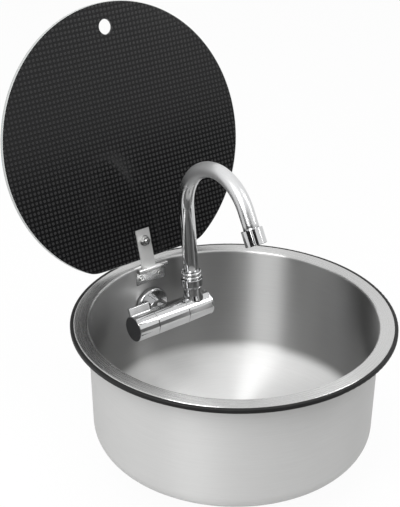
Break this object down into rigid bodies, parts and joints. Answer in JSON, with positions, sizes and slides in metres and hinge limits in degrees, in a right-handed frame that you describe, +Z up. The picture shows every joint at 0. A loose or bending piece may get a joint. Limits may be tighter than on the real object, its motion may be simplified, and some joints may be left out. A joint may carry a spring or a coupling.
{
  "type": "round drop-in sink with a hinged glass lid and a folding tap",
  "caption": "Round pressed steel sink for a motor home with a rim seal, a hinged dark glass lid, a wall-mounted swivel tap that folds into the bowl, and a strainer waste with a plug.",
  "frame": {"origin": "on the bowl's vertical axis, in the plane of the worktop that the rim seal rests on", "axes": "+Z up out of the bowl; +Y from the bowl's axis towards the lid's hinge and the tap on the wall; +X along the hinge's pin and the tap's body, to the right when the hinge is at the back"},
  "size_m": [0.408, 0.4882, 0.5518],
  "materials": {
    "sink_steel": "satin",
    "hardware_steel": "satin",
    "chrome": "polished",
    "brass": "turned",
    "black_rubber": "matt",
    "grey_rubber": "matt",
    "black_glass": "tinted, polished, with a printed dot grid",
    "nylon": "natural",
    "black_plastic": "moulded",
    "white_plastic": "moulded",
    "grey_plastic": "gloss"
  },
  "bodies": {
    "basin": {"bowl": "sink_steel", "rim_seal": "black_rubber", "hinge_plate": "hardware_steel", "hinge_pin": "hardware_steel", "hinge_screws": "hardware_steel", "hinge_nuts": "hardware_steel", "cup_gasket": "black_rubber", "tap_cup": "chrome", "tap_body": "chrome", "spigot_o_rings": "black_rubber", "valve_cartridge": "black_plastic", "cartridge_nut": "brass", "keeper_washer": "hardware_steel", "keeper_screw": "hardware_steel", "back_rubber": "black_rubber", "back_washer": "hardware_steel", "backnut": "brass", "waste_gasket": "black_rubber", "strainer": "hardware_steel", "trap_gasket": "black_rubber", "trap_cup": "white_plastic", "waste_screw": "hardware_steel"},
    "lid": {"lid_glass": "black_glass", "lid_strap": "hardware_steel", "strap_pad": "grey_rubber", "lid_bolt": "hardware_steel", "nylon_washer": "nylon", "lid_washer": "hardware_steel", "lid_nut": "hardware_steel"},
    "knob": {"tap_knob": "chrome", "knob_cap": "grey_plastic", "valve_spindle": "brass", "knob_screw": "hardware_steel"},
    "swivel": {"swivel_block": "chrome", "end_cap": "chrome", "neck_seal": "black_rubber", "riser_nut": "chrome"},
    "spout": {"spout_tube": "chrome", "spout_bush": "nylon", "spout_collar": "chrome", "nozzle_housing": "chrome", "nozzle_washer": "black_rubber", "nozzle_insert": "black_plastic"},
    "plug": {"drain_plug": "black_rubber"}
  },
  "joints": [
    {"name": "lid_hinge", "type": "hinge", "parent": "basin", "child": "lid", "pos_m": [0, 0.175, 0.001], "axis": [1, 0, 0], "range_deg": [0, 106]},
    {"name": "tap_fold", "type": "hinge", "parent": "basin", "child": "swivel", "pos_m": [0.041, 0.136, -0.0556], "axis": [1, 0, 0], "range_deg": [0, 96.5]},
    {"name": "spout_swivel", "type": "hinge", "parent": "swivel", "child": "spout", "pos_m": [0.041, 0.136, -0.0556], "axis": [0, 0.1132, 0.9936], "range_deg": [-90, 0]},
    {"name": "knob_turn", "type": "hinge", "parent": "basin", "child": "knob", "pos_m": [-0.044, 0.136, -0.0556], "axis": [1, 0, 0], "range_deg": [0, 90]},
    {"name": "plug_lift", "type": "slide", "parent": "basin", "child": "plug", "axis": [0, 0, 1], "range_m": [0, 0.03]}
  ],
  "couplings": [
    {"joint": "tap_fold", "follows": "lid_hinge", "ratio": 0.91037},
    {"joint": "spout_swivel", "follows": "lid_hinge", "ratio": -0.84905}
  ]
}
